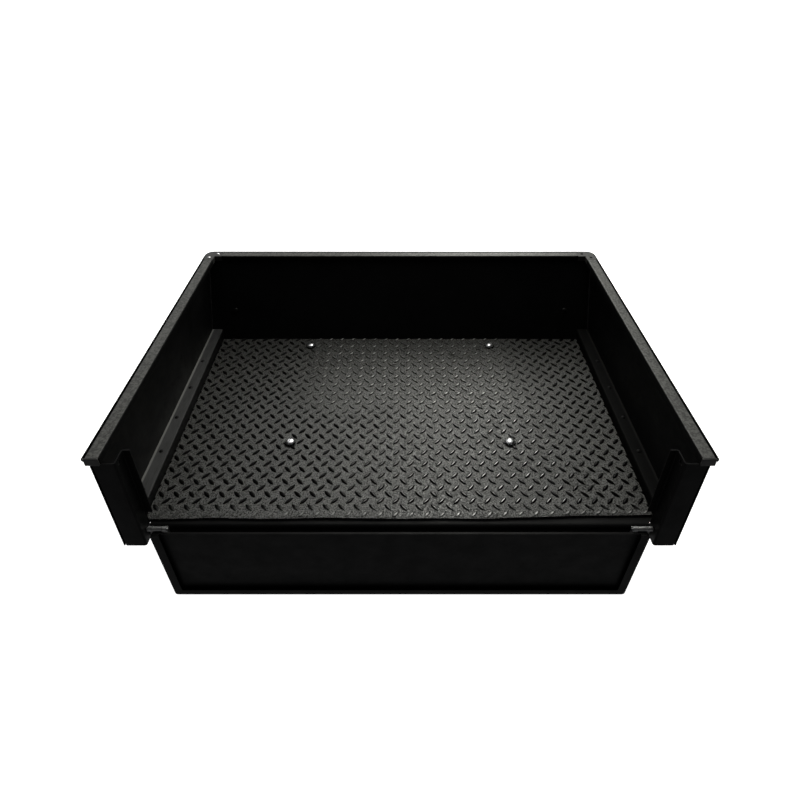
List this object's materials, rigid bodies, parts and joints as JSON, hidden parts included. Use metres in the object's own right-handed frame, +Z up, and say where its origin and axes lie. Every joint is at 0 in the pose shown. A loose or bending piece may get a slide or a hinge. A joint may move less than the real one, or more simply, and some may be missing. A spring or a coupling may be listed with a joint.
{
  "type": "utility bed liner",
  "caption": "Low open steel utility bed with headboard, side walls, a tread-plate rubber floor liner held by domed bolts, and a drop-down tailgate.",
  "frame": {"origin": "centre of the flat underside of the centre cross member, where the bed is bolted down", "axes": "+X to the right, +Y towards the headboard, +Z up; the tailgate is at -Y"},
  "size_m": [1.137, 0.7683, 0.4689],
  "materials": {
    "black_powder_coat": "satin black powder coat",
    "ledge_powder_coat": "satin black powder coat, polished by wear",
    "grey_rail": "satin grey rail",
    "grey_black_plastic": "moulded plastic",
    "charcoal_rubber": "charcoal moulded rubber with raised treads",
    "bright_bolt": "bright polished steel",
    "zinc_plate": "zinc plated steel",
    "dark_screw": "blackened steel"
  },
  "bodies": {
    "bed": {"floor_panel": "black_powder_coat", "headboard": "black_powder_coat", "left_side_wall": "black_powder_coat", "left_side_sill": "black_powder_coat", "left_ledge": "ledge_powder_coat", "left_top_rail": "grey_rail", "left_corner_cap": "grey_black_plastic", "left_rail_end_cap": "grey_black_plastic", "left_rear_post": "black_powder_coat", "left_frame_runner": "black_powder_coat", "right_side_wall": "black_powder_coat", "right_side_sill": "black_powder_coat", "right_ledge": "ledge_powder_coat", "right_top_rail": "grey_rail", "right_corner_cap": "grey_black_plastic", "right_rail_end_cap": "grey_black_plastic", "right_rear_post": "black_powder_coat", "right_frame_runner": "black_powder_coat", "headboard_rail": "grey_rail", "front_cross_member": "black_powder_coat", "centre_cross_member": "black_powder_coat", "rear_cross_member": "black_powder_coat", "bed_mat": "charcoal_rubber", "mat_bolt_front_left": "bright_bolt", "mat_washer_front_left": "zinc_plate", "mat_nut_front_left": "zinc_plate", "mat_bolt_front_right": "bright_bolt", "mat_washer_front_right": "zinc_plate", "mat_nut_front_right": "zinc_plate", "mat_bolt_rear_left": "bright_bolt", "mat_washer_rear_left": "zinc_plate", "mat_nut_rear_left": "zinc_plate", "mat_bolt_rear_right": "bright_bolt", "mat_washer_rear_right": "zinc_plate", "mat_nut_rear_right": "zinc_plate", "ledge_screw_left_1": "dark_screw", "ledge_screw_left_2": "dark_screw", "ledge_screw_left_3": "dark_screw", "ledge_screw_left_4": "dark_screw", "ledge_screw_left_5": "dark_screw", "headboard_bolt_left": "dark_screw", "headboard_nut_left": "zinc_plate", "hinge_bed_leaf_left": "zinc_plate", "hinge_pin_left": "zinc_plate", "ledge_screw_right_1": "dark_screw", "ledge_screw_right_2": "dark_screw", "ledge_screw_right_3": "dark_screw", "ledge_screw_right_4": "dark_screw", "ledge_screw_right_5": "dark_screw", "headboard_bolt_right": "dark_screw", "headboard_nut_right": "zinc_plate", "hinge_bed_leaf_right": "zinc_plate", "hinge_pin_right": "zinc_plate"},
    "tailgate": {"tailgate_panel": "black_powder_coat", "hinge_gate_leaf_left": "zinc_plate", "latch_housing_left": "grey_black_plastic", "hinge_gate_leaf_right": "zinc_plate", "latch_housing_right": "grey_black_plastic"},
    "left_latch": {"latch_bolt_left": "zinc_plate"},
    "right_latch": {"latch_bolt_right": "zinc_plate"}
  },
  "joints": [
    {"name": "tailgate_hinge", "type": "hinge", "parent": "bed", "child": "tailgate", "pos_m": [0, -0.3208, 0.0356], "axis": [-1, 0, 0], "range_deg": [-2, 182.9]},
    {"name": "left_latch_slide", "type": "slide", "parent": "tailgate", "child": "left_latch", "axis": [-1, 0, 0], "range_m": [0, 0.02]},
    {"name": "right_latch_slide", "type": "slide", "parent": "tailgate", "child": "right_latch", "axis": [1, 0, 0], "range_m": [0, 0.02]}
  ]
}
